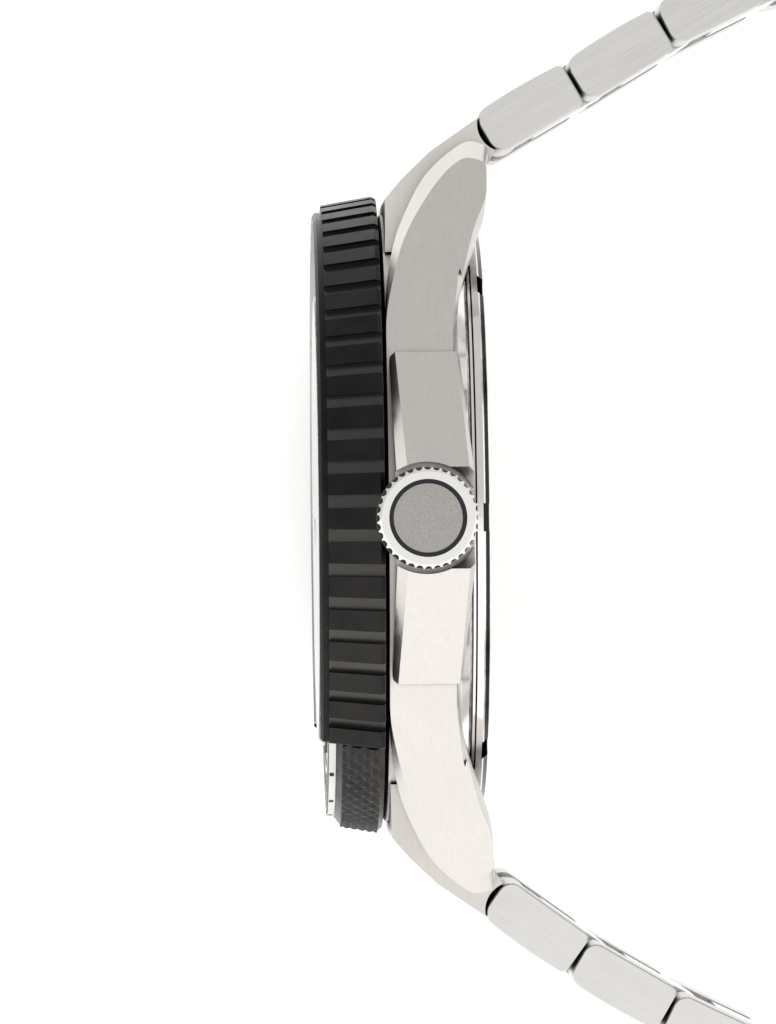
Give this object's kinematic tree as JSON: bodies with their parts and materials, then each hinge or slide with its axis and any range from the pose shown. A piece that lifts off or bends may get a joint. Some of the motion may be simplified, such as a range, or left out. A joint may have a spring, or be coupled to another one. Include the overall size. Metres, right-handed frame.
{
  "type": "dive watch",
  "caption": "Steel dive watch with a toothed black rotating bezel, crown between guards, pointed lugs and a closed three-row link bracelet with a folding clasp.",
  "frame": {"origin": "centre of the case back, on its outer face, where the watch meets the wrist", "axes": "the watch lies on its left side: +Z along the crown (3 o'clock), +Y to 12 o'clock, -X out of the dial, +X into the bracelet loop"},
  "size_m": [0.0619, 0.0811, 0.0492],
  "materials": {
    "steel_brushed": "fine brushed stainless steel",
    "steel_polished": "mirror polished stainless steel",
    "bezel_black": "satin black hard coating",
    "insert_black": "matt black scale",
    "lume": "luminous paint",
    "glass": "clear polished crystal",
    "gasket": "black rubber",
    "dial_black": "matt black",
    "hand_steel": "polished, with light inlay",
    "movement_nickel": "rhodium plated with fine stripes",
    "movement_brass": "gilt",
    "holder": "plain moulding"
  },
  "bodies": {
    "head": {"mid_case": "steel_brushed", "case_back": "steel_polished", "case_back_gasket": "gasket", "crystal": "glass", "crystal_gasket": "gasket", "chapter_ring": "dial_black", "dial": "dial_black", "hour_markers": "lume", "movement_ring": "holder", "main_plate": "movement_nickel", "train_bridge": "movement_nickel", "movement_screws": "steel_polished", "crown_tube": "steel_polished", "bezel_gasket": "gasket", "bezel_click_spring": "steel_polished", "spring_bars": "steel_polished", "end_link_12": "steel_brushed", "end_link_6": "steel_brushed"},
    "bezel": {"bezel": "bezel_black", "bezel_insert": "insert_black", "bezel_pip": "lume"},
    "setting": {"setting_lever": "steel_polished"},
    "crown": {"crown": "steel_polished", "crown_gasket": "gasket", "winding_stem": "steel_polished"},
    "hour": {"hour_hand": "hand_steel"},
    "minute": {"minute_hand": "hand_steel"},
    "seconds": {"seconds_hand": "hand_steel"},
    "rotor": {"winding_rotor": "movement_nickel"},
    "barrel": {"mainspring_barrel": "movement_brass"},
    "third": {"third_wheel": "movement_brass"},
    "escape": {"escape_wheel": "movement_brass"},
    "pallet": {"pallet_fork": "movement_nickel"},
    "balance": {"balance_wheel": "movement_brass"},
    "link_12_1": {"link_12_1": "steel_brushed"},
    "link_12_2": {"link_12_2": "steel_brushed"},
    "link_12_3": {"link_12_3": "steel_brushed"},
    "link_12_4": {"link_12_4": "steel_brushed"},
    "link_12_5": {"link_12_5": "steel_brushed"},
    "link_12_6": {"link_12_6": "steel_brushed"},
    "link_12_7": {"link_12_7": "steel_brushed"},
    "link_12_8": {"link_12_8": "steel_brushed"},
    "link_6_1": {"link_6_1": "steel_brushed"},
    "link_6_2": {"link_6_2": "steel_brushed"},
    "link_6_3": {"link_6_3": "steel_brushed"},
    "link_6_4": {"link_6_4": "steel_brushed"},
    "link_6_5": {"link_6_5": "steel_brushed"},
    "link_6_6": {"link_6_6": "steel_brushed"},
    "link_6_7": {"link_6_7": "steel_brushed"},
    "link_6_8": {"link_6_8": "steel_brushed"},
    "clasp_base": {"clasp_base_blade": "steel_polished"},
    "clasp_middle": {"clasp_middle_blade": "steel_polished"},
    "clasp_cover": {"clasp_cover": "steel_brushed"},
    "button_3": {"clasp_button_3": "steel_polished"},
    "button_9": {"clasp_button_9": "steel_polished"}
  },
  "joints": [
    {"name": "bezel_turn", "type": "hinge", "parent": "head", "child": "bezel", "pos_m": [-0.0095, 0, 0], "axis": [-1, 0, 0], "continuous": true},
    {"name": "crown_pull", "type": "slide", "parent": "head", "child": "setting", "axis": [0, 0, 1], "range_m": [0, 0.0012]},
    {"name": "crown_turn", "type": "hinge", "parent": "setting", "child": "crown", "pos_m": [-0.00435, 0, 0.02], "axis": [0, 0, 1], "continuous": true},
    {"name": "seconds_turn", "type": "hinge", "parent": "head", "child": "seconds", "pos_m": [-0.0094, 0, 0], "axis": [1, 0, 0], "continuous": true},
    {"name": "minute_turn", "type": "hinge", "parent": "head", "child": "minute", "pos_m": [-0.0089, 0, 0], "axis": [1, 0, 0], "continuous": true},
    {"name": "hour_turn", "type": "hinge", "parent": "head", "child": "hour", "pos_m": [-0.0084, 0, 0], "axis": [1, 0, 0], "continuous": true},
    {"name": "rotor_turn", "type": "hinge", "parent": "head", "child": "rotor", "pos_m": [-0.002, 0, 0], "axis": [1, 0, 0], "continuous": true},
    {"name": "barrel_turn", "type": "hinge", "parent": "head", "child": "barrel", "pos_m": [-0.0046, 0.0049, -0.0056], "axis": [1, 0, 0], "continuous": true},
    {"name": "third_turn", "type": "hinge", "parent": "head", "child": "third", "pos_m": [-0.0046, -0.004, -0.0046], "axis": [1, 0, 0], "continuous": true},
    {"name": "escape_turn", "type": "hinge", "parent": "head", "child": "escape", "pos_m": [-0.0046, -0.0072, 0.0004], "axis": [1, 0, 0], "continuous": true},
    {"name": "pallet_turn", "type": "hinge", "parent": "head", "child": "pallet", "pos_m": [-0.0046, -0.00612, 0.00276], "axis": [1, 0, 0], "range_deg": [-5, 5]},
    {"name": "balance_turn", "type": "hinge", "parent": "head", "child": "balance", "pos_m": [-0.0046, -0.0045, 0.0063], "axis": [1, 0, 0], "range_deg": [-150, 150]},
    {"name": "link_12_1_hinge", "type": "hinge", "parent": "head", "child": "link_12_1", "pos_m": [0.00168, 0.02695, 0], "axis": [0, 0, 1], "range_deg": [0, 6]},
    {"name": "link_12_2_hinge", "type": "hinge", "parent": "link_12_1", "child": "link_12_2", "pos_m": [0.00796, 0.03058, 0], "axis": [0, 0, 1], "range_deg": [0, 4]},
    {"name": "link_12_3_hinge", "type": "hinge", "parent": "link_12_2", "child": "link_12_3", "pos_m": [0.01417, 0.03431, 0], "axis": [0, 0, 1], "range_deg": [0, 9]},
    {"name": "link_12_4_hinge", "type": "hinge", "parent": "link_12_3", "child": "link_12_4", "pos_m": [0.02069, 0.03749, 0], "axis": [0, 0, 1], "range_deg": [0, 20.3]},
    {"name": "link_12_5_hinge", "type": "hinge", "parent": "link_12_4", "child": "link_12_5", "pos_m": [0.02784, 0.03871, 0], "axis": [0, 0, 1], "range_deg": [0, 25.3]},
    {"name": "link_12_6_hinge", "type": "hinge", "parent": "link_12_5", "child": "link_12_6", "pos_m": [0.03494, 0.03725, 0], "axis": [0, 0, 1], "range_deg": [0, 25.2]},
    {"name": "link_12_7_hinge", "type": "hinge", "parent": "link_12_6", "child": "link_12_7", "pos_m": [0.04103, 0.03332, 0], "axis": [0, 0, 1], "range_deg": [0, 26.9]},
    {"name": "link_12_8_hinge", "type": "hinge", "parent": "link_12_7", "child": "link_12_8", "pos_m": [0.04512, 0.02733, 0], "axis": [0, 0, 1], "range_deg": [0, 24.3]},
    {"name": "link_6_1_hinge", "type": "hinge", "parent": "head", "child": "link_6_1", "pos_m": [0.00168, -0.02695, 0], "axis": [0, 0, -1], "range_deg": [0, 6]},
    {"name": "link_6_2_hinge", "type": "hinge", "parent": "link_6_1", "child": "link_6_2", "pos_m": [0.00754, -0.03121, 0], "axis": [0, 0, -1], "range_deg": [0, 9.5]},
    {"name": "link_6_3_hinge", "type": "hinge", "parent": "link_6_2", "child": "link_6_3", "pos_m": [0.01379, -0.03489, 0], "axis": [0, 0, -1], "range_deg": [0, 8.5]},
    {"name": "link_6_4_hinge", "type": "hinge", "parent": "link_6_3", "child": "link_6_4", "pos_m": [0.02031, -0.03807, 0], "axis": [0, 0, -1], "range_deg": [0, 24.3]},
    {"name": "link_6_5_hinge", "type": "hinge", "parent": "link_6_4", "child": "link_6_5", "pos_m": [0.02752, -0.03879, 0], "axis": [0, 0, -1], "range_deg": [0, 23.5]},
    {"name": "link_6_6_hinge", "type": "hinge", "parent": "link_6_5", "child": "link_6_6", "pos_m": [0.03456, -0.03706, 0], "axis": [0, 0, -1], "range_deg": [0, 23]},
    {"name": "link_6_7_hinge", "type": "hinge", "parent": "link_6_6", "child": "link_6_7", "pos_m": [0.04066, -0.03313, 0], "axis": [0, 0, -1], "range_deg": [0, 24.5]},
    {"name": "link_6_8_hinge", "type": "hinge", "parent": "link_6_7", "child": "link_6_8", "pos_m": [0.04499, -0.02732, 0], "axis": [0, 0, -1], "range_deg": [0, 22.4]},
    {"name": "clasp_strap_hinge", "type": "hinge", "parent": "link_6_8", "child": "clasp_base", "pos_m": [0.04727, -0.02044, 0], "axis": [0, 0, -1], "range_deg": [0, 20]},
    {"name": "clasp_inner_fold", "type": "hinge", "parent": "clasp_base", "child": "clasp_middle", "pos_m": [0.0484, 0.0177, 0], "axis": [0, 0, 1], "range_deg": [0, 85]},
    {"name": "clasp_outer_fold", "type": "hinge", "parent": "clasp_middle", "child": "clasp_cover", "pos_m": [0.0484, -0.0163, 0], "axis": [0, 0, -1], "range_deg": [0, 100]},
    {"name": "button_3_press", "type": "slide", "parent": "clasp_cover", "child": "button_3", "axis": [0, 0, -1], "range_m": [0, 0.0006], "stiffness_N_per_m": 400},
    {"name": "button_9_press", "type": "slide", "parent": "clasp_cover", "child": "button_9", "axis": [0, 0, 1], "range_m": [0, 0.0006], "stiffness_N_per_m": 400}
  ],
  "couplings": [
    {"joint": "minute_turn", "follows": "seconds_turn", "ratio": 0.016667},
    {"joint": "hour_turn", "follows": "seconds_turn", "ratio": 0.0013889}
  ]
}
